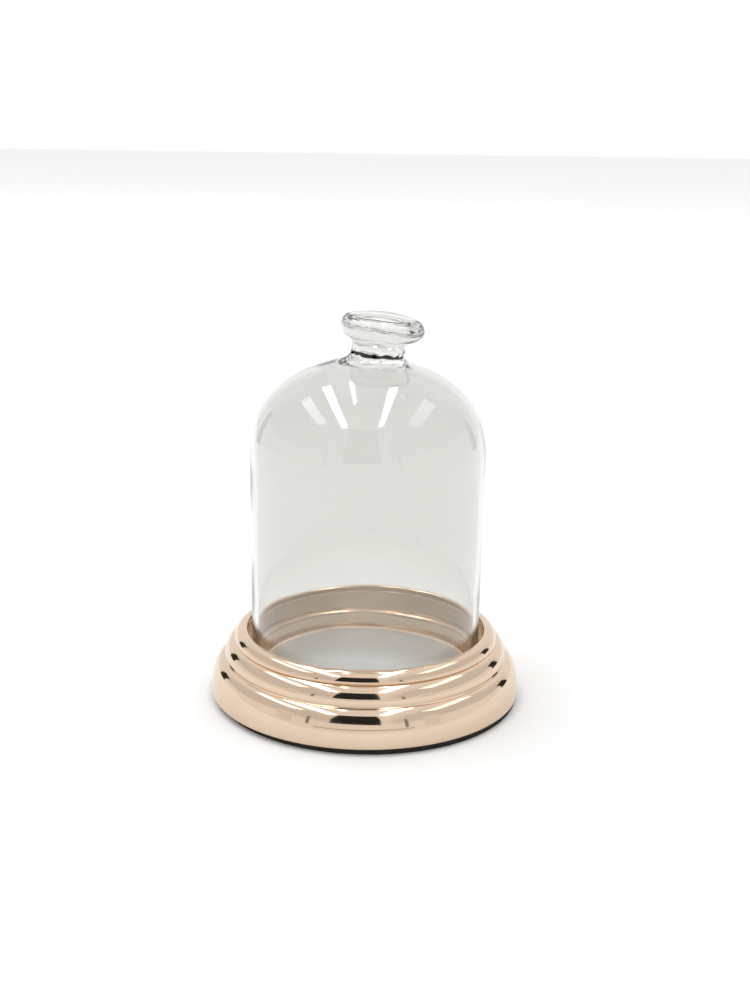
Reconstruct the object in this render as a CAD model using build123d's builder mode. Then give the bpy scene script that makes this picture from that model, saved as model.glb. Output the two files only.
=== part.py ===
"""Bell jar dome: a blown glass bell with an applied knob, standing in the well of a
stepped, spun metal base.  Millimetres, +Z up, origin at the centre of the underside."""
import os
from math import asin, atan2, cos, degrees, radians, sin, tan

from build123d import *

os.makedirs("parts", exist_ok=True)

# ---- foot pad: a black foam disc stuck under the base, a little off centre --------------
PAD_R = 74.2
PAD_T = 3.4
PAD_SHIFT_X = 0.8
PAD_EDGE = 0.4

# ---- base moulding: one spun sheet with a rolled rim, a middle roll and a flared skirt ---
SHEET = 1.0
HEM_Z = PAD_T
HEM_R = 66.0

RIM_CREST = (59.0, 35.0)
RIM_INNER_EDGE = 0.8
RIM_ROLL_R = 5.5
RIM_ROLL_TURN = 82.0
TOP_GROOVE = (63.4, 29.7)
MID_ROLL_R = 7.6
MID_ROLL_START = 75.5
MID_GROOVE = (68.8, 20.6)
SKIRT_ROLL_R = 7.2
SKIRT_ROLL_START = 75.0
SKIRT_FLARE_START = 21.0
SKIRT_FLARE_R = 36.0
SKIRT_TUCK_START = 2.6
SKIRT_TUCK_R = 3.6

# ---- well pan: a pressed pan that hangs from the rim and carries bell and plate ---------
WELL_R = 58.2
LIP_END_Z = 32.4
PAN_SHEET = 0.8
PAN_FLANGE_R = 61.6
LEDGE_Z = 21.5
LOWER_WALL_R = 53.5
FLOOR_Z = 12.8
PAN_CORNER = 2.0
PAN_HOLE_R = 3.4

# ---- display plate ----------------------------------------------------------------------
PLATE_R = 50.0
PLATE_TOP_Z = 15.0
PLATE_BEVEL = 0.5

# ---- base board and the clamp that pulls plate, pan and board together ------------------
BOARD_R = 70.8
BOARD_BORE_R = 2.8
COUNTERBORE_R = 8.5
STUD_R = 2.5
STUD_COLLAR_R = 3.1
STUD_COLLAR_T = 0.7
WASHER_R = 7.5
WASHER_T = 1.0
NUT_ACROSS_FLATS = 8.0
NUT_T = 2.7

# ---- blown glass bell -------------------------------------------------------------------
GLASS_WALL = 2.6
BELL_SEAT_R = 55.7
BELL_MAX_R = 56.3
SHOULDER_Z = 123.7
SHOULDER_RX = 43.2
SHOULDER_RZ = 41.0
CROWN_SLOPE = 21.7
CROWN_PATCH_R = 17.5
BELL_RIM_ROUND = 0.8

# ---- applied glass knob: a neck that leans to one side under a tilted button ------------
NECK_R = 12.25
NECK_X = 4.4
NECK_Z = 171.9
NECK_HEAD_R = 13.4
NECK_HEAD_X = 5.5
NECK_HEAD_Z = 180.0
BUTTON_R = 19.9
BUTTON_T = 10.6
BUTTON_X = 6.1
BUTTON_Z = 182.9
BUTTON_TILT = 5.5
BUTTON_CROWN = 1.0
BUTTON_UNDERSIDE = 4.4


def roll(start, slope, radius, end_slope):
    """A convex arc that runs down the outer face. Slopes are those of the surface's normal
    above the horizontal, in degrees."""
    along = (sin(radians(slope)), -cos(radians(slope)))
    return JernArc(start, along, radius, end_slope - slope)


# The base moulding: the outer face runs from the lip inside the well, over the rim, down
# the middle roll and the flared skirt to the hem that is turned in under the board.
with BuildPart() as base_moulding:
    with BuildSketch(Plane.XZ):
        with BuildLine():
            lip = Line((WELL_R, LIP_END_Z), (WELL_R, RIM_CREST[1] - RIM_INNER_EDGE))
            inner_edge = JernArc(lip @ 1, (0, 1), RIM_INNER_EDGE, -90)
            rim_roll = roll(inner_edge @ 1, 90, RIM_ROLL_R, 90 - RIM_ROLL_TURN)
            rim_tuck = Line(rim_roll @ 1, TOP_GROOVE)
            mid_roll = roll(TOP_GROOVE, MID_ROLL_START, MID_ROLL_R, 0)
            mid_side = Line(mid_roll @ 1, MID_GROOVE)
            skirt_roll = roll(MID_GROOVE, SKIRT_ROLL_START, SKIRT_ROLL_R, SKIRT_FLARE_START)
            skirt_flare = roll(skirt_roll @ 1, SKIRT_FLARE_START, SKIRT_FLARE_R, SKIRT_TUCK_START)
            flare_end = skirt_flare @ 1
            tuck_centre_z = flare_end.Y - SKIRT_TUCK_R * sin(radians(SKIRT_TUCK_START))
            tuck_end = -degrees(asin((tuck_centre_z - HEM_Z) / SKIRT_TUCK_R))
            skirt_tuck = roll(flare_end, SKIRT_TUCK_START, SKIRT_TUCK_R, tuck_end)
            hem = Line(skirt_tuck @ 1, (HEM_R, HEM_Z))
            offset(amount=SHEET, side=Side.RIGHT, kind=Kind.ARC)
        make_face()
    revolve(axis=Axis.Z)
base_moulding.part.label = "base_moulding"
export_step(base_moulding.part, "parts/base_moulding.step")

# The well pan: flange under the rim's lip, upper wall, ledge for the bell, lower wall and
# floor, all from one pressed sheet.
with BuildPart() as well_pan:
    with BuildSketch(Plane.XZ):
        with BuildLine():
            Polyline(
                (PAN_FLANGE_R, LIP_END_Z),
                (WELL_R, LIP_END_Z),
                (WELL_R, LEDGE_Z),
                (LOWER_WALL_R, LEDGE_Z),
                (LOWER_WALL_R, FLOOR_Z + PAN_CORNER),
            )
            JernArc((LOWER_WALL_R, FLOOR_Z + PAN_CORNER), (0, -1), PAN_CORNER, -90)
            Line((LOWER_WALL_R - PAN_CORNER, FLOOR_Z), (PAN_HOLE_R, FLOOR_Z))
            Line((PAN_HOLE_R, FLOOR_Z), (PAN_HOLE_R, FLOOR_Z - PAN_SHEET))
            Line((PAN_HOLE_R, FLOOR_Z - PAN_SHEET), (LOWER_WALL_R - PAN_CORNER, FLOOR_Z - PAN_SHEET))
            JernArc(
                (LOWER_WALL_R - PAN_CORNER, FLOOR_Z - PAN_SHEET),
                (1, 0),
                PAN_CORNER + PAN_SHEET,
                90,
            )
            Polyline(
                (LOWER_WALL_R + PAN_SHEET, FLOOR_Z + PAN_CORNER),
                (LOWER_WALL_R + PAN_SHEET, LEDGE_Z - PAN_SHEET),
                (WELL_R + PAN_SHEET, LEDGE_Z - PAN_SHEET),
                (WELL_R + PAN_SHEET, LIP_END_Z - PAN_SHEET),
                (PAN_FLANGE_R, LIP_END_Z - PAN_SHEET),
                (PAN_FLANGE_R, LIP_END_Z),
            )
        make_face()
    revolve(axis=Axis.Z)
well_pan.part.label = "well_pan"
export_step(well_pan.part, "parts/well_pan.step")

# The display plate, a flat disc with a bevelled top edge.
with BuildPart() as display_plate:
    with BuildSketch(Plane.XY.offset(FLOOR_Z)):
        Circle(PLATE_R)
    extrude(amount=PLATE_TOP_Z - FLOOR_Z)
    chamfer(display_plate.faces().sort_by(Axis.Z)[-1].edges(), PLATE_BEVEL)
display_plate.part.label = "display_plate"
export_step(display_plate.part, "parts/display_plate.step")

# The clamp stud welded to the underside of the plate.
with BuildPart() as clamp_stud:
    with BuildSketch(Plane.XY.offset(FLOOR_Z)):
        Circle(STUD_COLLAR_R)
    extrude(amount=-STUD_COLLAR_T)
    with BuildSketch(Plane.XY.offset(FLOOR_Z - STUD_COLLAR_T)):
        Circle(STUD_R)
    extrude(amount=-(FLOOR_Z - STUD_COLLAR_T - HEM_Z - SHEET))
    chamfer(clamp_stud.faces().sort_by(Axis.Z)[0].edges(), 0.4)
clamp_stud.part.label = "clamp_stud"
export_step(clamp_stud.part, "parts/clamp_stud.step")

# The base board: it lies on the hem, carries the pan and hides the nut in a counterbore.
BOARD_BOTTOM_Z = HEM_Z + SHEET
BOARD_TOP_Z = FLOOR_Z - PAN_SHEET
COUNTERBORE_Z = BOARD_BOTTOM_Z + NUT_T + WASHER_T
with BuildPart() as base_board:
    with BuildSketch(Plane.XY.offset(BOARD_BOTTOM_Z)):
        Circle(BOARD_R)
    extrude(amount=BOARD_TOP_Z - BOARD_BOTTOM_Z)
    with BuildSketch(Plane.XY.offset(BOARD_BOTTOM_Z)):
        Circle(COUNTERBORE_R)
    extrude(amount=COUNTERBORE_Z - BOARD_BOTTOM_Z, mode=Mode.SUBTRACT)
    with BuildSketch(Plane.XY.offset(COUNTERBORE_Z)):
        Circle(BOARD_BORE_R)
    extrude(amount=BOARD_TOP_Z - COUNTERBORE_Z, mode=Mode.SUBTRACT)
base_board.part.label = "base_board"
export_step(base_board.part, "parts/base_board.step")

# Washer and thin nut on the stud, up inside the counterbore.
with BuildPart() as clamp_washer:
    with BuildSketch(Plane.XY.offset(COUNTERBORE_Z)):
        Circle(WASHER_R)
        Circle(BOARD_BORE_R, mode=Mode.SUBTRACT)
    extrude(amount=-WASHER_T)
clamp_washer.part.label = "clamp_washer"
export_step(clamp_washer.part, "parts/clamp_washer.step")

with BuildPart() as clamp_nut:
    with BuildSketch(Plane.XY.offset(COUNTERBORE_Z - WASHER_T)):
        RegularPolygon(NUT_ACROSS_FLATS / 2, 6, major_radius=False)
        Circle(STUD_R, mode=Mode.SUBTRACT)
    extrude(amount=-NUT_T)
clamp_nut.part.label = "clamp_nut"
export_step(clamp_nut.part, "parts/clamp_nut.step")

# The foot pad.
with BuildPart() as foot_pad:
    with BuildSketch(Plane.XY):
        with Locations((PAD_SHIFT_X, 0)):
            Circle(PAD_R)
    extrude(amount=PAD_T)
    fillet(foot_pad.faces().sort_by(Axis.Z)[0].edges(), PAD_EDGE)
foot_pad.part.label = "foot_pad"
export_step(foot_pad.part, "parts/foot_pad.step")

# The bell: a nearly straight wall, an elliptical shoulder and a conical crown that ends in
# the flat patch the knob is fused to.
SHOULDER_X = BELL_MAX_R - SHOULDER_RX
SHOULDER_TURN = atan2(SHOULDER_RZ, SHOULDER_RX * tan(radians(CROWN_SLOPE)))
SHOULDER_END = (
    SHOULDER_X + SHOULDER_RX * cos(SHOULDER_TURN),
    SHOULDER_Z + SHOULDER_RZ * sin(SHOULDER_TURN),
)
CROWN_Z = SHOULDER_END[1] + (SHOULDER_END[0] - CROWN_PATCH_R) * tan(radians(CROWN_SLOPE))
INNER_CROWN_Z = SHOULDER_Z + SHOULDER_RZ - GLASS_WALL
with BuildPart() as glass_dome:
    with BuildSketch(Plane.XZ):
        with BuildLine():
            Line((BELL_SEAT_R, LEDGE_Z), (BELL_MAX_R, SHOULDER_Z))
            EllipticalCenterArc(
                (SHOULDER_X, SHOULDER_Z),
                SHOULDER_RX,
                SHOULDER_RZ,
                start_angle=0,
                arc_size=degrees(SHOULDER_TURN),
            )
            Line(SHOULDER_END, (CROWN_PATCH_R, CROWN_Z))
            Line((CROWN_PATCH_R, CROWN_Z), (0, CROWN_Z))
            Line((0, CROWN_Z), (0, INNER_CROWN_Z))
            Line((0, INNER_CROWN_Z), (SHOULDER_X, INNER_CROWN_Z))
            EllipticalCenterArc(
                (SHOULDER_X, SHOULDER_Z),
                SHOULDER_RX - GLASS_WALL,
                SHOULDER_RZ - GLASS_WALL,
                start_angle=0,
                arc_size=90,
            )
            Line((BELL_MAX_R - GLASS_WALL, SHOULDER_Z), (BELL_SEAT_R - GLASS_WALL, LEDGE_Z))
            Line((BELL_SEAT_R - GLASS_WALL, LEDGE_Z), (BELL_SEAT_R, LEDGE_Z))
        make_face()
    revolve(axis=Axis.Z)
    fillet(glass_dome.faces().sort_by(Axis.Z)[0].edges(), BELL_RIM_ROUND)
glass_dome.part.label = "glass_dome"
export_step(glass_dome.part, "parts/glass_dome.step")

# The knob: a leaning neck lofted from the crown patch, and a tilted round-edged button.
TILT = radians(BUTTON_TILT)
BUTTON_ORIGIN = (BUTTON_X, 0, BUTTON_Z)
BUTTON_PLANE = Plane(BUTTON_ORIGIN, x_dir=(cos(TILT), 0, -sin(TILT)), z_dir=(0, -1, 0))
BUTTON_AXIS = Axis(BUTTON_ORIGIN, (sin(TILT), 0, cos(TILT)))
EDGE_R = BUTTON_T / 2
with BuildPart() as knob_neck:
    for radius, shift, height in (
        (CROWN_PATCH_R, 0, CROWN_Z),
        (NECK_R, NECK_X, NECK_Z),
        (NECK_HEAD_R, NECK_HEAD_X, NECK_HEAD_Z),
    ):
        with BuildSketch(Plane.XY.offset(height)):
            with Locations((shift, 0)):
                Circle(radius)
    loft()

with BuildPart() as knob_button:
    with BuildSketch(BUTTON_PLANE):
        with BuildLine():
            ThreePointArc(
                (BUTTON_R - EDGE_R, -EDGE_R),
                (BUTTON_R, 0),
                (BUTTON_R - EDGE_R, EDGE_R),
            )
            TangentArc((0, EDGE_R + BUTTON_CROWN), (BUTTON_R - EDGE_R, EDGE_R), tangent=(1, 0))
            Line((0, EDGE_R + BUTTON_CROWN), (0, -EDGE_R - BUTTON_UNDERSIDE))
            Line((0, -EDGE_R - BUTTON_UNDERSIDE), (NECK_R - 1, -EDGE_R - BUTTON_UNDERSIDE))
            Line((NECK_R - 1, -EDGE_R - BUTTON_UNDERSIDE), (BUTTON_R - EDGE_R, -EDGE_R))
        make_face()
    revolve(axis=BUTTON_AXIS)

with BuildPart() as glass_knob:
    add(knob_neck.part)
    add(knob_button.part)
glass_knob.part.label = "glass_knob"
export_step(glass_knob.part, "parts/glass_knob.step")
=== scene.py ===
"""Looks for the bell jar: a hand-blown glass bell with a fused, lopsided knob, standing in
the well of a stepped, polished rose-gold base.

Outlines are drawn in millimetres as (radius, height) and spun into meshes in metres, in
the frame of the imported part. Heights and radii start from the boxes of the CAD nodes."""

import math

import bmesh
import bpy
from mathutils import Matrix, Vector, noise


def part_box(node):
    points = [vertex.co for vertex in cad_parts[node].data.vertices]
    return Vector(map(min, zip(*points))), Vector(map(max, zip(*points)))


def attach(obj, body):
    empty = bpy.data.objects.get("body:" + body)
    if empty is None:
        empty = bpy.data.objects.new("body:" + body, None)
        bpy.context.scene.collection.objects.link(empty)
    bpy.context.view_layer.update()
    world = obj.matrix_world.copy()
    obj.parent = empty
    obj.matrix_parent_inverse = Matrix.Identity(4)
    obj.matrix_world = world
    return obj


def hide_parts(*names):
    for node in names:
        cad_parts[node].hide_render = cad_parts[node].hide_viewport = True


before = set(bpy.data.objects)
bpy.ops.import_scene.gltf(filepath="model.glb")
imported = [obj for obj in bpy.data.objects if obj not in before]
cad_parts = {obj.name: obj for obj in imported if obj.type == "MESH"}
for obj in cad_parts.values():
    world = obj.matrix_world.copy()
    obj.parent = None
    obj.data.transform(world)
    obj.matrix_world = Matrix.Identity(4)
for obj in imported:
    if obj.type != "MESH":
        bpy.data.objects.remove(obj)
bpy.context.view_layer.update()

# ---- making of meshes ---------------------------------------------------------------------
MM = 0.001
SEGMENTS = 256  # faces round a spun piece
ARC_STEP = 5.0  # degrees between points of an arc
SUPPORT = 0.15  # mm from the end of a straight stretch to the point that keeps it flat
CREASE = math.radians(28)  # edges sharper than this stay crisp


def node_box(node):
    """Lowest and highest corner of a CAD node, in millimetres."""
    low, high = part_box(node)
    return low / MM, high / MM


class Outline:
    """A spun piece's outline as (radius, height) points, drawn with lines and curves."""

    def __init__(self, *start):
        self.points = [start]

    def line(self, *end, pitch=6.0):
        """A straight stretch, with a point close to each end so that its shading stays flat."""
        begin = self.points[-1]
        length = math.dist(begin, end)
        margin = min(SUPPORT / length, 0.2)
        steps = max(1, round(length / pitch))
        stops = [margin + (1 - 2 * margin) * k / steps for k in range(steps + 1)]
        for t in [*stops, 1.0]:
            self.points.append(tuple(a + (b - a) * t for a, b in zip(begin, end)))
        return self

    def arc(self, centre, radii, start, sweep, step=ARC_STEP):
        """Part of a circle or an ellipse, from the angle start through sweep, in degrees."""
        rx, rz = radii if isinstance(radii, tuple) else (radii, radii)
        steps = max(3, math.ceil(abs(sweep) / step))
        for k in range(1, steps + 1):
            angle = math.radians(start + sweep * k / steps)
            self.points.append(
                (centre[0] + rx * math.cos(angle), centre[1] + rz * math.sin(angle))
            )
        return self

    def curve(self, lead_out, lead_in, end, steps=14):
        """A cubic curve that leaves towards lead_out and arrives from lead_in."""
        begin = self.points[-1]
        for k in range(1, steps + 1):
            t = k / steps
            weights = ((1 - t) ** 3, 3 * t * (1 - t) ** 2, 3 * t * t * (1 - t), t**3)
            corners = (begin, lead_out, lead_in, end)
            self.points.append(
                tuple(sum(w * c[i] for w, c in zip(weights, corners)) for i in (0, 1))
            )
        return self

    def soften(self, corner, reach, steps=8):
        """Fills a sharp hollow corner with a small curve that starts at a given distance."""
        near = [i for i, point in enumerate(self.points) if math.dist(point, corner) < reach]
        sides = []
        for point in (self.points[near[0] - 1], self.points[near[-1] + 1]):
            share = reach / math.dist(point, corner)
            sides.append(tuple(c + (p - c) * share for p, c in zip(point, corner)))
        curve = []
        for k in range(steps + 1):
            t = k / steps
            weights = ((1 - t) ** 2, 2 * t * (1 - t), t * t)
            corners = (sides[0], corner, sides[1])
            curve.append(tuple(sum(w * c[i] for w, c in zip(weights, corners)) for i in (0, 1)))
        self.points[near[0] : near[-1] + 1] = curve
        return self


def round_corner(outline, corner, radius, into, out):
    """Rounds a square corner. into and out are the unit directions before and after it."""
    start = tuple(c - radius * d for c, d in zip(corner, into))
    centre = tuple(s + radius * d for s, d in zip(start, out))
    outline.line(*start)
    first = math.degrees(math.atan2(start[1] - centre[1], start[0] - centre[0]))
    turn = 90 if into[0] * out[1] - into[1] * out[0] > 0 else -90
    return outline.arc(centre, radius, first, turn, step=15)


def sheet_outline(path, thickness):
    """Closes an open path of points into the outline of a sheet that lies to its right."""
    inner = []
    for i, (r, z) in enumerate(path):
        before, after = path[max(i - 1, 0)], path[min(i + 1, len(path) - 1)]
        along = Vector((r - before[0], z - before[1])).normalized()
        onward = Vector((after[0] - r, after[1] - z)).normalized()
        mean = (along + onward).normalized()
        inner.append((r + thickness * mean.y, z - thickness * mean.x))
    return path + inner[::-1]


def upright(r, z, angle):
    """A point of a plain spun piece."""
    return Vector((r * math.cos(angle), r * math.sin(angle), z))


def spin(name, outline, place=upright, closed=False):
    """Spins an outline into a mesh object. A point on the axis becomes a single vertex, and
    a closed outline joins its last point to its first."""
    vertices, rings = [], []
    for r, z in outline:
        count = 1 if r < 1e-6 else SEGMENTS
        rings.append([len(vertices) + i for i in range(count)])
        vertices += [place(r, z, math.tau * i / SEGMENTS) * MM for i in range(count)]
    faces = []
    for a, b in zip(rings, rings[1:] + rings[:1] if closed else rings[1:]):
        for i in range(SEGMENTS):
            j = (i + 1) % SEGMENTS
            corners = (a[i % len(a)], a[j % len(a)], b[j % len(b)], b[i % len(b)])
            faces.append(list(dict.fromkeys(corners)))
    return mesh_object(name, vertices, faces)


def mesh_object(name, vertices, faces):
    """A smooth-shaded object with its faces turned outwards and its sharp edges kept."""
    mesh = bpy.data.meshes.new(name)
    mesh.from_pydata(vertices, [], faces)
    shape = bmesh.new()
    shape.from_mesh(mesh)
    bmesh.ops.recalc_face_normals(shape, faces=shape.faces)
    shape.to_mesh(mesh)
    shape.free()
    mesh.shade_smooth()
    mesh.set_sharp_from_angle(angle=CREASE)
    piece = bpy.data.objects.new(name, mesh)
    bpy.context.scene.collection.objects.link(piece)
    return piece


# ---- making of materials ------------------------------------------------------------------
def add(tree, kind, inputs=None, **settings):
    """A new node. An input that is another node's output socket is linked to it."""
    node = tree.nodes.new(kind)
    for key, value in settings.items():
        setattr(node, key, value)
    for key, value in (inputs or {}).items():
        if isinstance(value, bpy.types.NodeSocket):
            tree.links.new(value, node.inputs[key])
        else:
            node.inputs[key].default_value = value
    return node


def new_material(name, **values):
    """A material with a Principled shader. Returns it with its tree and the shader."""
    material = bpy.data.materials.new(name)
    material.use_nodes = True
    tree = material.node_tree
    tree.nodes.clear()
    shader = add(tree, "ShaderNodeBsdfPrincipled")
    for socket, value in values.items():
        shader.inputs[socket.replace("_", " ")].default_value = value
    output = add(tree, "ShaderNodeOutputMaterial")
    tree.links.new(shader.outputs["BSDF"], output.inputs["Surface"])
    return material, tree, shader


def place_of(tree):
    """Coordinates of a point of the object, in metres."""
    return add(tree, "ShaderNodeTexCoord").outputs["Object"]


def ring_place(tree):
    """Coordinates (radius, height, 0): what is drawn with them runs round the axis."""
    place = place_of(tree)
    flat = add(tree, "ShaderNodeVectorMath", {0: place, 1: (1, 1, 0)}, operation="MULTIPLY")
    radius = add(tree, "ShaderNodeVectorMath", {0: flat.outputs[0]}, operation="LENGTH")
    height = add(tree, "ShaderNodeSeparateXYZ", {0: place})
    pair = {"X": radius.outputs["Value"], "Y": height.outputs["Z"]}
    return add(tree, "ShaderNodeCombineXYZ", pair).outputs[0]


def cloud(tree, place, scale, detail=3.0, rough=0.5):
    """Noise from 0 to 1. Scale is in cycles per metre."""
    values = {"Vector": place, "Scale": scale, "Detail": detail, "Roughness": rough}
    return add(tree, "ShaderNodeTexNoise", values).outputs["Fac"]


def span(tree, value, low, high, start=0.3, end=0.7):
    """A value that runs from low to high as another goes from start to end."""
    values = {0: value, 1: start, 2: end, 3: low, 4: high}
    return add(tree, "ShaderNodeMapRange", values).outputs[0]


def blend_colour(tree, share, first, second):
    """A colour between two others."""
    mix = add(tree, "ShaderNodeMix", {0: share}, data_type="RGBA")
    for socket, colour in ((6, first), (7, second)):
        if isinstance(colour, bpy.types.NodeSocket):
            tree.links.new(colour, mix.inputs[socket])
        else:
            mix.inputs[socket].default_value = (*colour, 1)
    return mix.outputs[2]


def relief(tree, height, strength, distance):
    """Surface relief from a height, as a normal. Distance is in metres."""
    values = {"Height": height, "Strength": strength, "Distance": distance}
    return add(tree, "ShaderNodeBump", values).outputs["Normal"]


def wire(tree, shader, **sockets):
    """Links outputs to the shader's inputs by name."""
    for socket, output in sockets.items():
        tree.links.new(output, shader.inputs[socket.replace("_", " ")])


def reckon(tree, operation, *values):
    """The result of one sum, product or other operation on values."""
    return add(tree, "ShaderNodeMath", dict(enumerate(values)), operation=operation).outputs[0]


def polished_rose_gold():
    """Plated, machine-buffed metal: faint polishing rings and a few wiped smears."""
    material, tree, shader = new_material("polished_rose_gold", Metallic=1.0)
    rings, place = ring_place(tree), place_of(tree)
    tone = cloud(tree, place, 26, detail=4)
    wiped = cloud(tree, place, 70, detail=5, rough=0.6)
    buffed = cloud(tree, rings, 2600, detail=2)
    fine = cloud(tree, rings, 900, detail=3)
    colour = blend_colour(
        tree, span(tree, tone, 0, 1), (0.712, 0.548, 0.410), (0.742, 0.578, 0.438)
    )
    smears, rings_left = span(tree, wiped, 0.035, 0.085), span(tree, buffed, 0.0, 0.02)
    height = reckon(tree, "MULTIPLY", fine, span(tree, wiped, 0.3, 1.0))
    wire(
        tree,
        shader,
        Base_Color=colour,
        Roughness=reckon(tree, "ADD", smears, rings_left),
        Normal=relief(tree, height, 0.05, 0.00005),
    )
    return material


def satin_rose_gold():
    """The pressed pan inside: the same plating over unpolished, ring-brushed metal, its colour
    painted much lighter as painted light for the well under the glass.
    """
    material, tree, shader = new_material("satin_rose_gold", Metallic=0.8)
    rings, place = ring_place(tree), place_of(tree)
    patchy = cloud(tree, place, 45, detail=5, rough=0.6)
    brushed = cloud(tree, rings, 1500, detail=4, rough=0.7)
    # Random tone between two colours, both painted much lighter than the plating's own: painted
    # light that brightens the well under the glass bell.
    colour = blend_colour(
        tree, span(tree, patchy, 0, 1), (0.950, 0.755, 0.590), (0.990, 0.800, 0.630)
    )
    wire(
        tree,
        shader,
        Base_Color=colour,
        Roughness=span(tree, brushed, 0.09, 0.16),
        Normal=relief(tree, brushed, 0.25, 0.0001),
    )
    return material


def satin_silver():
    """The plate: fine-grained silver lacquer on a thin disc."""
    material, tree, shader = new_material("satin_silver", Metallic=0.35)
    place = place_of(tree)
    grain = cloud(tree, place, 2600, detail=2)
    patchy = cloud(tree, place, 50, detail=4)
    colour = blend_colour(
        tree, span(tree, patchy, 0, 1), (0.885, 0.905, 0.915), (0.915, 0.935, 0.945)
    )
    wire(
        tree,
        shader,
        Base_Color=colour,
        Roughness=span(tree, grain, 0.16, 0.24),
        Normal=relief(tree, grain, 0.2, 0.0001),
    )
    return material


PAINTED_SHADE_HEIGHTS = (0.035, 0.070)  # metres; the glass is clearest up to here; from here up its grey is painted shade


def clear_glass():
    """Soda-lime glass, nearly clear low down as the glass is; the grey that grows towards the top
    is painted shade that darkens what shows through, as a greyer backdrop would. Hand-blown waves
    and a few smears."""
    material, tree, shader = new_material("clear_glass", IOR=1.5, Transmission_Weight=1.0)
    place = place_of(tree)
    height = add(tree, "ShaderNodeSeparateXYZ", {0: place}).outputs["Z"]
    shade_mottle = cloud(tree, place, 18, detail=2)
    wave = cloud(tree, place, 30, detail=2)
    smear = cloud(tree, place, 55, detail=6, rough=0.65)
    # Painted shade: this grey, with a little random variation, darkens what is seen through the
    # upper glass, as a greyer backdrop behind it would.
    painted_shade_grey = blend_colour(
        tree, span(tree, shade_mottle, 0, 1), (0.785, 0.783, 0.762), (0.805, 0.803, 0.783)
    )
    low = span(tree, height, 1, 0, *PAINTED_SHADE_HEIGHTS)
    colour = blend_colour(tree, low, painted_shade_grey, (0.915, 0.913, 0.900))
    wire(
        tree,
        shader,
        Base_Color=colour,
        Roughness=span(tree, smear, 0.0, 0.02, start=0.62, end=0.8),
        Normal=relief(tree, wave, 0.15, 0.0006),
    )
    return material


def black_foam():
    """Closed-cell foam: dull, dark and pitted."""
    material, tree, shader = new_material("black_foam", Specular_IOR_Level=0.25)
    place = place_of(tree)
    cells = add(tree, "ShaderNodeTexVoronoi", {"Vector": place, "Scale": 1400})
    dust = cloud(tree, place, 160, detail=6, rough=0.7)
    colour = blend_colour(
        tree, span(tree, dust, 0, 1), (0.012, 0.010, 0.008), (0.034, 0.028, 0.022)
    )
    wire(
        tree,
        shader,
        Base_Color=colour,
        Roughness=span(tree, dust, 0.8, 0.95),
        Normal=relief(tree, cells.outputs["Distance"], 0.5, 0.0003),
    )
    return material


def fibreboard():
    """Raw board with pressed fibres and darker flecks."""
    material, tree, shader = new_material("fibreboard", Specular_IOR_Level=0.2)
    place = place_of(tree)
    squeeze = {"Vector": place, "Scale": (1.0, 3.5, 6.0)}
    stretched = add(tree, "ShaderNodeMapping", squeeze).outputs[0]
    fibre = cloud(tree, stretched, 700, detail=6, rough=0.75)
    fleck = cloud(tree, place, 1300, detail=2)
    ground = blend_colour(
        tree, span(tree, fibre, 0, 1), (0.300, 0.190, 0.105), (0.440, 0.310, 0.190)
    )
    colour = blend_colour(
        tree, span(tree, fleck, 0, 0.6, start=0.62, end=0.75), ground, (0.12, 0.07, 0.04)
    )
    wire(
        tree,
        shader,
        Base_Color=colour,
        Roughness=span(tree, fibre, 0.7, 0.9),
        Normal=relief(tree, fibre, 0.35, 0.0002),
    )
    return material


def zinc_steel():
    """Zinc-plated fixings: cold grey with soft spangles and tool marks."""
    material, tree, shader = new_material("zinc_steel", Metallic=1.0)
    place = place_of(tree)
    spangle = cloud(tree, place, 420, detail=3)
    tooled = cloud(tree, ring_place(tree), 2200, detail=3)
    colour = blend_colour(
        tree, span(tree, spangle, 0, 1), (0.470, 0.480, 0.500), (0.640, 0.650, 0.660)
    )
    wire(
        tree,
        shader,
        Base_Color=colour,
        Roughness=span(tree, spangle, 0.24, 0.42),
        Normal=relief(tree, tooled, 0.2, 0.0001),
    )
    return material


MATERIALS = {
    "polished_rose_gold": polished_rose_gold(),
    "satin_rose_gold": satin_rose_gold(),
    "satin_silver": satin_silver(),
    "clear_glass": clear_glass(),
    "black_foam": black_foam(),
    "fibreboard": fibreboard(),
    "zinc_steel": zinc_steel(),
}


def finish_piece(piece, slot, body, *nodes):
    """Gives a new piece its material and its body, and hides the CAD nodes that it stands for."""
    piece.data.materials.clear()
    piece.data.materials.append(MATERIALS[slot])
    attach(piece, body)
    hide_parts(*nodes)
    return piece


def repaint(node, slot):
    """Gives a CAD node, which keeps its own shape, a procedural material."""
    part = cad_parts[node]
    part.data.materials.clear()
    part.data.materials.append(MATERIALS[slot])
    part.data.shade_smooth()
    part.data.set_sharp_from_angle(angle=CREASE)


# ---- base moulding ------------------------------------------------------------------------
moulding_low, moulding_high = node_box("base_moulding")
RIM_Z = moulding_high.z
HEM_Z = moulding_low.z
CAD_CLEARANCE = 0.02  # mm that the widest roll stays inside the CAD node
SKIRT_R = moulding_high.x - CAD_CLEARANCE
SHEET = 1.0  # thickness of the spun metal
WELL_R = SKIRT_R - 17.8
LIP_DROP = 2.6  # from the top of the rim down to the lip's edge
LIP_ROUND = 0.35
RIM_INNER_EDGE = 0.8
RIM_ROLL_R, MID_ROLL_R, SKIRT_ROLL_R = 5.5, 7.6, 7.2
TOP_GROOVE = (SKIRT_R - 12.6, RIM_Z - 5.3)
MID_GROOVE = (SKIRT_R - 7.2, RIM_Z - 14.4)
FLARE_R, TUCK_R = 36.0, 3.6
HEM_R = SKIRT_R - 10.0
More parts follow.
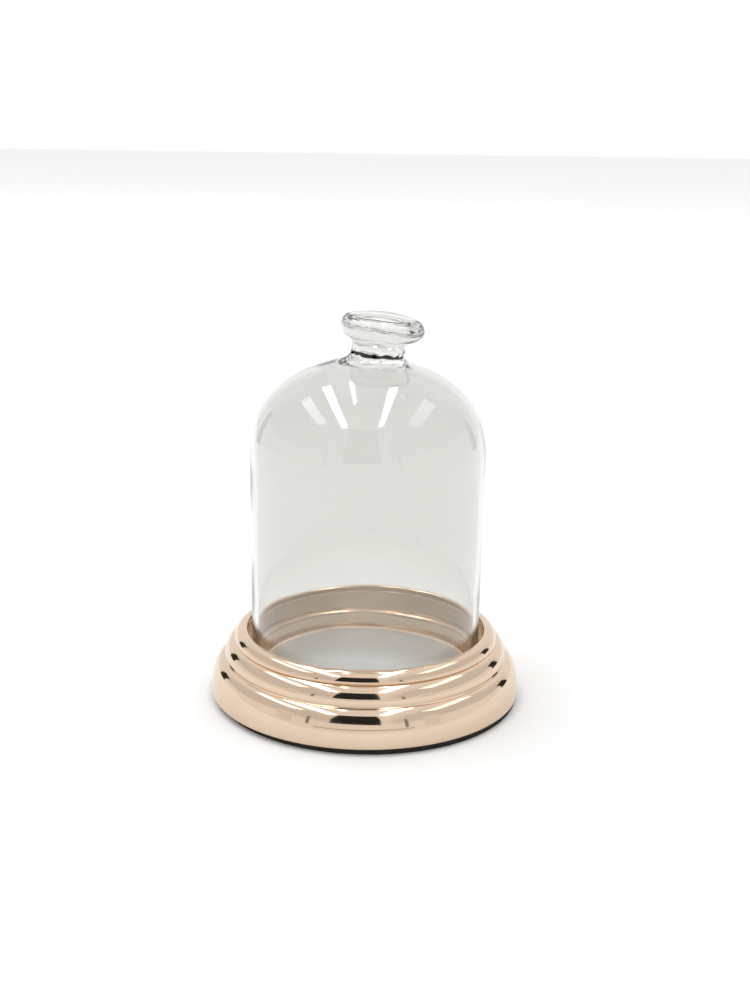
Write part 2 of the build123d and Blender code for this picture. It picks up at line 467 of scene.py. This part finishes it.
# Slopes of the surface's normal above the horizontal, in degrees.
RIM_ROLL_END = 8.0
MID_ROLL_START = 75.5
SKIRT_ROLL_START = 75.0
FLARE_START = 21.0
TUCK_START = 2.6
GROOVE_REACH = 0.6  # how far the grooves' rounded bottoms reach up their sides


def roll(outline, radius, start, end, step=3.0):
    """A convex arc down the outer face between two slopes of the surface's normal."""
    r, z = outline.points[-1]
    slope = math.radians(start)
    centre = (r - radius * math.cos(slope), z - radius * math.sin(slope))
    return outline.arc(centre, radius, start, end - start, step=step)


def base_moulding():
    """One spun sheet: lip, rim roll, middle roll, flared skirt and the hem under the board."""
    outer = Outline(WELL_R + LIP_ROUND, RIM_Z - LIP_DROP)
    outer.arc((WELL_R + LIP_ROUND, RIM_Z - LIP_DROP + LIP_ROUND), LIP_ROUND, -90, -90, step=15)
    outer.line(WELL_R, RIM_Z - RIM_INNER_EDGE)
    edge = (WELL_R + RIM_INNER_EDGE, RIM_Z - RIM_INNER_EDGE)
    outer.arc(edge, RIM_INNER_EDGE, 180, -90, step=10)
    roll(outer, RIM_ROLL_R, 90, RIM_ROLL_END)
    outer.line(*TOP_GROOVE)
    roll(outer, MID_ROLL_R, MID_ROLL_START, 0)
    outer.line(*MID_GROOVE)
    roll(outer, SKIRT_ROLL_R, SKIRT_ROLL_START, FLARE_START)
    roll(outer, FLARE_R, FLARE_START, TUCK_START, step=1.0)
    low_z = outer.points[-1][1] - TUCK_R * math.sin(math.radians(TUCK_START))
    roll(outer, TUCK_R, TUCK_START, -math.degrees(math.asin((low_z - HEM_Z) / TUCK_R)))
    outer.line(HEM_R, HEM_Z)
    for groove in (TOP_GROOVE, MID_GROOVE):
        outer.soften(groove, GROOVE_REACH)
    return spin("moulding", sheet_outline(outer.points, SHEET), closed=True)


# ---- well pan -----------------------------------------------------------------------------
_, pan_high = node_box("well_pan")
bell_low, bell_high = node_box("glass_dome")
plate_low, plate_high = node_box("display_plate")
PAN_SHEET = 0.8
PAN_TOP_Z = pan_high.z
LEDGE_Z = bell_low.z
FLOOR_Z = plate_low.z
PAN_WALL_R = pan_high.x - 3.4
LOWER_WALL_R = PAN_WALL_R - 4.7
PAN_CORNER = 2.0
PAN_HOLE_R = 3.4
PAN_TOP_ROUND = 0.6
LEDGE_ROUND = 0.5


def well_pan():
    """The pressed pan: flange, upper wall, the ledge the bell stands on, lower wall, floor."""
    face = Outline(pan_high.x, PAN_TOP_Z)
    round_corner(face, (PAN_WALL_R, PAN_TOP_Z), PAN_TOP_ROUND, (-1, 0), (0, -1))
    round_corner(face, (PAN_WALL_R, LEDGE_Z), LEDGE_ROUND, (0, -1), (-1, 0))
    round_corner(face, (LOWER_WALL_R, LEDGE_Z), LEDGE_ROUND, (-1, 0), (0, -1))
    round_corner(face, (LOWER_WALL_R, FLOOR_Z), PAN_CORNER, (0, -1), (-1, 0))
    face.line(PAN_HOLE_R, FLOOR_Z)
    return spin("pan", sheet_outline(face.points, -PAN_SHEET), closed=True)


# ---- display plate and foot pad -----------------------------------------------------------
PLATE_BEVEL = 0.5
PAD_EDGE = 0.4
PAD_INSET = 0.5
PAD_RAGGED = 0.12  # how far the cut edge wanders
PAD_RAG_CIRCLE = 9  # radius of the noise that the edge follows; larger wanders more often
PAD_RIM_BAND = 2  # width of the band that is moved in
PAD_SEED = 1.7


def display_plate():
    """The disc in the well, with a bevelled edge."""
    radius = plate_high.x
    edge = Outline(0.0, plate_low.z).line(radius, plate_low.z)
    edge.line(radius, plate_high.z - PLATE_BEVEL).line(radius - PLATE_BEVEL, plate_high.z)
    return spin("plate", edge.line(0.0, plate_high.z).points)


def foot_pad():
    """The foam disc stuck under the base, a little off centre."""
    low, high = node_box("foot_pad")
    centre, radius = (low + high) / 2, (high.y - low.y) / 2

    def off_centre(r, z, angle):
        ragged = PAD_RAGGED * noise.noise(upright(PAD_RAG_CIRCLE, PAD_SEED, angle))
        inset = PAD_INSET - ragged if r > radius - PAD_RIM_BAND else 0.0
        return upright(r - inset, z, angle) + Vector((centre.x + PAD_INSET / 2, 0, 0))

    edge = Outline(0.0, low.z).line(radius - PAD_EDGE, low.z)
    edge.arc((radius - PAD_EDGE, low.z + PAD_EDGE), PAD_EDGE, -90, 90, step=15)
    edge.line(radius, high.z - PAD_EDGE, pitch=0.8)
    edge.arc((radius - PAD_EDGE, high.z - PAD_EDGE), PAD_EDGE, 0, 90, step=15)
    return spin("foam_foot", edge.line(0.0, high.z).points, place=off_centre)


# ---- glass bell and knob ------------------------------------------------------------------
GLASS_WALL = 2.6
BELL_R = bell_high.x
SEAT_R = BELL_R - 0.6
RIM_ROUND = 0.8
SHOULDER_RX, SHOULDER_RZ = 43.2, 41.0
SHOULDER_X = BELL_R - SHOULDER_RX
SHOULDER_Z = bell_high.z - 42.7
CROWN_SLOPE = math.radians(21.7)
INNER_CROWN_R = 15.0
INNER_CROWN_RISE = 1.2
CROWN_FILLET_R = 21.5  # radius where the crown starts to sweep up into the neck

NECK_START_Z = bell_high.z
NECK_WAIST_R = 12.5
NECK_WAIST_Z = NECK_START_Z + 5.6
NECK_X = 4.4  # how far the neck has leaned where it is thinnest
NECK_FLARE = 2.5  # reach of the control points beside and above the waist
LEAN_BLEND = 3  # the lean starts this far below the neck

BUTTON_Z = NECK_START_Z + 16.5
BUTTON_R = 19.9
BUTTON_EDGE = 5.3  # radius of the button's round edge
BUTTON_X = 6.1
BUTTON_TILT = math.radians(5.5)
BUTTON_DISH = 0.6  # how far the middle of its top is sunk
CROWN_LEAD = 1.5  # control points: of the neck's sweep, above the crown
UNDER_LEAD = (1.6, 2.6)  # of the button's underside, inwards and down from its round edge
TOP_LEAD = 5.0  # of the button's top, from its round edge and from the middle
TILT_FULL_Z = BUTTON_Z - 5

WAVE_PITCH, WAVE_DEPTH = 38, 0.22  # of the blown wall
WAVE_SEEDS = {True: 40, False: 90}  # outside, inside
WAVE_GROWTH = (12, 8)  # height above the rim and distance from the axis at full depth
LUMPS_START_Z = NECK_WAIST_Z + 1.5
LUMPS_GROWTH = (6, BUTTON_R / 1.3)  # height and distance from the axis at full depth
LUMP_PITCH, LUMP_DEPTH = (6.5, 9), 0.35  # of the button; its pitch is sideways, upwards
LUMP_SEED = (3, 7)
SAG = 0.35  # keeps the highest lump inside the CAD node
LOBES = ((3, 0.012, 0.6), (5, 0.010, -1.1))  # count, share of the radius, phase
LOBE_MARGIN = 0.012  # shrinks the button, so that its lobes stay near BUTTON_R
PINCH = (4, 0.15, 0.9)  # count, rise in mm, phase
JOIN_Z = NECK_WAIST_Z - 1.5  # where the knob was fused on: the neck is rippled here
JOIN_REACH = 5.5
JOIN_PITCH, JOIN_RIPPLE = (3.2, 5), 0.5
JOIN_SEED = (11, 5)


def smooth(t):
    """0 to 1 with flat ends."""
    t = min(max(t, 0.0), 1.0)
    return t * t * (3 - 2 * t)


def lean(z):
    """Sideways shift and tilt of the knob's axis at a height."""
    start_z = NECK_START_Z - LEAN_BLEND
    shift = NECK_X * smooth((z - start_z) / (NECK_WAIST_Z - start_z))
    shift += (BUTTON_X - NECK_X) * smooth((z - NECK_WAIST_Z) / (BUTTON_Z - NECK_WAIST_Z))
    tilt = BUTTON_TILT * smooth((z - NECK_START_Z) / (TILT_FULL_Z - NECK_START_Z))
    return shift, tilt


def rough_noise(r, z, angle, pitch, seed):
    """Noise round the axis, with its own pitch sideways and upwards."""
    return noise.noise(upright(r / pitch[0], z / pitch[1], angle) + Vector((*seed, 0)))


def blown(r, z, angle, outside):
    """A point of the bell or knob: hand-blown waves, and above the crown a leaning neck and
    a lumpy, pinched button."""
    wave = noise.noise(upright(r, z + WAVE_SEEDS[outside], angle) / WAVE_PITCH)
    r += WAVE_DEPTH * wave * smooth((z - LEDGE_Z) / WAVE_GROWTH[0]) * smooth(r / WAVE_GROWTH[1])
    if not outside or z < NECK_START_Z - LEAN_BLEND:
        return upright(r, z, angle)
    shift, tilt = lean(z)
    button = smooth((z - LUMPS_START_Z) / LUMPS_GROWTH[0]) * smooth(r / LUMPS_GROWTH[1])
    lobes = sum(size * math.cos(count * angle + phase) for count, size, phase in LOBES)
    r *= 1 + button * (lobes - LOBE_MARGIN)
    join = smooth(1 - abs(z - JOIN_Z) / JOIN_REACH)
    r += JOIN_RIPPLE * join * rough_noise(r, z, angle, JOIN_PITCH, JOIN_SEED)
    lump = rough_noise(r, z, angle, LUMP_PITCH, LUMP_SEED)
    count, rise, phase = PINCH
    pinch = rise * math.cos(count * angle + phase) * smooth(r / BUTTON_R)
    lift = button * (pinch + LUMP_DEPTH * lump - SAG)
    turned = Matrix.Rotation(tilt, 3, "Y") @ upright(r, 0, angle)
    return turned + Vector((shift, 0, z + lift))


def crown_start(rx, rz):
    """Where an elliptical shoulder passes into the cone of the crown: angle, radius, height."""
    turn = math.atan2(rz, rx * math.tan(CROWN_SLOPE))
    return turn, SHOULDER_X + rx * math.cos(turn), SHOULDER_Z + rz * math.sin(turn)


def bell_outline():
    """From the middle of the inner crown, down the inside, round the rim, up the outside,
    and over the crown, neck and button to the knob's top."""
    shoulder, rise = (SHOULDER_X, SHOULDER_Z), math.tan(CROWN_SLOPE)

    inner_radii = (SHOULDER_RX - GLASS_WALL, SHOULDER_RZ - GLASS_WALL)
    turn, end_r, end_z = crown_start(*inner_radii)
    top_z = end_z + (end_r - INNER_CROWN_R) * rise
    peak_z = top_z + INNER_CROWN_RISE
    line = Outline(0.0, peak_z)
    line.curve(
        (INNER_CROWN_R * 0.4, peak_z), (INNER_CROWN_R * 0.7, peak_z), (INNER_CROWN_R, top_z)
    )
    line.line(end_r, end_z, pitch=3)
    line.arc(shoulder, inner_radii, math.degrees(turn), -math.degrees(turn), step=3)

    seat_inner = SEAT_R - GLASS_WALL
    line.line(seat_inner, LEDGE_Z + RIM_ROUND, pitch=4)
    line.arc((seat_inner + RIM_ROUND, LEDGE_Z + RIM_ROUND), RIM_ROUND, 180, 90, step=15)
    line.line(SEAT_R - RIM_ROUND, LEDGE_Z)
    line.arc((SEAT_R - RIM_ROUND, LEDGE_Z + RIM_ROUND), RIM_ROUND, -90, 90, step=15)
    line.line(BELL_R, SHOULDER_Z, pitch=4)

    turn, end_r, end_z = crown_start(SHOULDER_RX, SHOULDER_RZ)
    line.arc(shoulder, (SHOULDER_RX, SHOULDER_RZ), 0, math.degrees(turn), step=3)
    line.line(CROWN_FILLET_R, end_z + (end_r - CROWN_FILLET_R) * rise, pitch=3)
    flare_r = NECK_WAIST_R + NECK_FLARE
    line.curve(
        (flare_r, end_z + (end_r - flare_r) * rise),
        (NECK_WAIST_R, NECK_START_Z + CROWN_LEAD),
        (NECK_WAIST_R, NECK_WAIST_Z),
    )

    edge_r, under_z, top_z = BUTTON_R - BUTTON_EDGE, BUTTON_Z - BUTTON_EDGE, BUTTON_Z + BUTTON_EDGE
    line.curve(
        (NECK_WAIST_R, NECK_WAIST_Z + NECK_FLARE),
        (edge_r - UNDER_LEAD[0], under_z - UNDER_LEAD[1]),
        (edge_r, under_z),
        steps=12,
    )
    line.arc((edge_r, BUTTON_Z), BUTTON_EDGE, -90, 180, step=9)
    middle_z = top_z - BUTTON_DISH
    line.curve((edge_r - TOP_LEAD, top_z), (TOP_LEAD, middle_z), (0.0, middle_z), steps=10)
    return line.points


def glass_bell():
    """Bell and knob in one skin, as fused glass is."""
    outline = bell_outline()
    rim = min(range(len(outline)), key=lambda i: (outline[i][1], outline[i][0]))
    inside = set(outline[:rim])

    def place(r, z, angle):
        return blown(r, z, angle, outside=(r, z) not in inside)

    return spin("glass_bell", outline, place=place)


finish_piece(base_moulding(), "polished_rose_gold", "base", "base_moulding")
finish_piece(well_pan(), "satin_rose_gold", "base", "well_pan")
finish_piece(display_plate(), "satin_silver", "base", "display_plate")
foot = finish_piece(foot_pad(), "black_foam", "base", "foot_pad")
finish_piece(glass_bell(), "clear_glass", "dome", "glass_dome", "glass_knob")
repaint("base_board", "fibreboard")
for fixing in ("clamp_stud", "clamp_washer", "clamp_nut"):
    repaint(fixing, "zinc_steel")


# ---- studio -------------------------------------------------------------------------------
ROOM_LIGHT = 1.0
SIDE_LIGHT = 0.78
SIDES_RISE = (0.19, 0.25)  # height in the room, as a sine, over which the sides turn grey
SIDES_EDGE = (0.42, 0.60)  # the same, sideways
SIDES_FORWARD = 0.2  # how far the grey sides reach round to the front
FLOOR_HALF = 6.0
FLOOR_NEAR = ((0.765, 0.765, 0.765), (0.78, 0.78, 0.78))
FLOOR_FAR = (0.97, 0.97, 0.97)
FLOOR_FADE = (0.8, 3.0)  # metres from the object
STRIP_Z = 2.1


def studio_world():
    """A white surround that is a little greyer above the table on either side."""
    world = bpy.data.worlds.new("studio")
    bpy.context.scene.world = world
    world.use_nodes = True
    tree = world.node_tree
    tree.nodes.clear()
    coords = add(tree, "ShaderNodeTexCoord").outputs["Generated"]
    axes = add(tree, "ShaderNodeSeparateXYZ", {0: coords}).outputs
    sideways = reckon(tree, "ABSOLUTE", axes["X"])
    aside = reckon(
        tree, "SUBTRACT", sideways, reckon(tree, "MULTIPLY", axes["Y"], SIDES_FORWARD)
    )
    above = span(tree, axes["Z"], 0, 1, *SIDES_RISE)
    share = reckon(tree, "MULTIPLY", above, span(tree, aside, 0, 1, *SIDES_EDGE))
    strength = span(tree, share, ROOM_LIGHT, SIDE_LIGHT, start=0, end=1)
    back = add(tree, "ShaderNodeBackground", {"Color": (1, 1, 1, 1), "Strength": strength})
    output = add(tree, "ShaderNodeOutputWorld")
    tree.links.new(back.outputs[0], output.inputs["Surface"])


def quad(name, corners, material):
    """A flat stage piece."""
    mesh = bpy.data.meshes.new(name)
    mesh.from_pydata(corners, [], [(0, 1, 2, 3)])
    mesh.materials.append(material)
    piece = bpy.data.objects.new(name, mesh)
    bpy.context.scene.collection.objects.link(piece)
    return piece


def studio_floor():
    """The pale table that the base stands on, a little paler far away."""
    material, tree, shader = new_material("pale_floor", Roughness=0.9, Specular_IOR_Level=0.1)
    place = place_of(tree)
    near = blend_colour(tree, span(tree, cloud(tree, place, 3, detail=2), 0, 1), *FLOOR_NEAR)
    away = add(tree, "ShaderNodeVectorMath", {0: place}, operation="LENGTH").outputs["Value"]
    colour = blend_colour(tree, span(tree, away, 0, 1, *FLOOR_FADE), near, FLOOR_FAR)
    wire(tree, shader, Base_Color=colour)
    reach = FLOOR_HALF
    corners = [(-reach, -reach, 0), (reach, -reach, 0), (reach, reach, 0), (-reach, reach, 0)]
    quad("floor", corners, material)


def studio_flag(name, azimuth, width, low, high, distance, grey):
    """An upright flag that only reflections see. Azimuth is from the front, towards +X, and
    width, low and high are angles in degrees, seen from the object."""
    material, _, _ = new_material(name, Base_Color=(grey, grey, grey, 1), Roughness=1.0)
    half = distance * math.tan(math.radians(width / 2))
    bottom = max(0.001, distance * math.tan(math.radians(low)))
    top = distance * math.tan(math.radians(high))
    corners = [(-half, 0, bottom), (half, 0, bottom), (half, 0, top), (-half, 0, top)]
    turn = Matrix.Rotation(math.radians(azimuth), 4, "Z")
    away = Matrix.Translation((0, -distance, 0))
    flag = quad(name, [turn @ away @ Vector(c) for c in corners], material)
    for ray in ("camera", "diffuse", "transmission", "shadow"):
        setattr(flag, f"visible_{ray}", False)


def strip_light(name, x, y_from, y_to, width, radiance):
    """An overhead strip that runs from front to back."""
    data = bpy.data.lights.new(name, "AREA")
    data.shape = "RECTANGLE"
    data.size, data.size_y = width, y_to - y_from
    data.energy = radiance * math.pi * data.size * data.size_y
    lamp = bpy.data.objects.new(name, data)
    lamp.location = (x, (y_from + y_to) / 2, STRIP_Z)
    bpy.context.scene.collection.objects.link(lamp)
    lamp.visible_camera = False


CAMERA_TARGET = (0.0038, 0.0, 0.0988)
CAMERA_DISTANCE = 0.700
CAMERA_ELEVATION, CAMERA_ROLL = math.radians(15.9), math.radians(0.79)
CAMERA_LENS, CAMERA_SENSOR = 52.27, 36.0


def studio_camera():
    """The view from the front and a little above, with a slight roll."""
    sine, cosine = math.sin(CAMERA_ELEVATION), math.cos(CAMERA_ELEVATION)
    back, level, rise = Vector((0, -cosine, sine)), Vector((1, 0, 0)), Vector((0, sine, cosine))
    right = math.cos(CAMERA_ROLL) * level + math.sin(CAMERA_ROLL) * rise
    up = math.cos(CAMERA_ROLL) * rise - math.sin(CAMERA_ROLL) * level
    data = bpy.data.cameras.new("camera")
    data.sensor_width = CAMERA_SENSOR
    data.lens = CAMERA_LENS
    camera = bpy.data.objects.new("camera", data)
    bpy.context.scene.collection.objects.link(camera)
    turn = Matrix((right, up, back)).transposed().to_4x4()
    place = Vector(CAMERA_TARGET) + CAMERA_DISTANCE * back
    camera.matrix_world = Matrix.Translation(place) @ turn
    bpy.context.scene.camera = camera


studio_world()
studio_floor()
studio_camera()

# x, nearest and furthest y, width, radiance
strip_light("strip_left", -0.81, -1.34, 1.46, 0.22, 9.0)
strip_light("strip_right", 0.46, -1.26, 1.24, 0.17, 9.0)
strip_light("strip_thin", -0.29, 0.0, 1.46, 0.08, 6.0)
strip_light("strip_far_left", -1.6, -0.8, 1.14, 0.45, 2.0)
strip_light("strip_far_right", 1.6, -0.8, 1.0, 0.60, 1.2)

# azimuth, width, lowest and highest angle, distance, grey
studio_flag("flag_front", -6, 36, 12.5, 54, 1.2, 0.004)
studio_flag("flag_front_line", 0, 70, 4.0, 5.2, 1.2, 0.3)
studio_flag("flag_left", -40, 2.4, 6, 22, 1.5, 0.2)
studio_flag("flag_right", 30, 2.4, 6, 22, 1.5, 0.2)
studio_flag("blotch_left", -58, 12, 3, 22, 1.6, 0.7)
studio_flag("blotch_right", 49, 12, 3, 22, 1.6, 0.74)
studio_flag("flag_left_rear", -130, 10, 0, 20, 1.5, 0.01)
studio_flag("flag_right_rear", 124, 10, 0, 20, 1.5, 0.01)

scene = bpy.context.scene
scene.view_settings.view_transform = "Standard"
scene.cycles.use_denoising = True
# Many bounces, because light passes through several faces of glass and wanders in the knob.
scene.cycles.max_bounces = 32
scene.cycles.transmission_bounces = 28
scene.cycles.glossy_bounces = 6
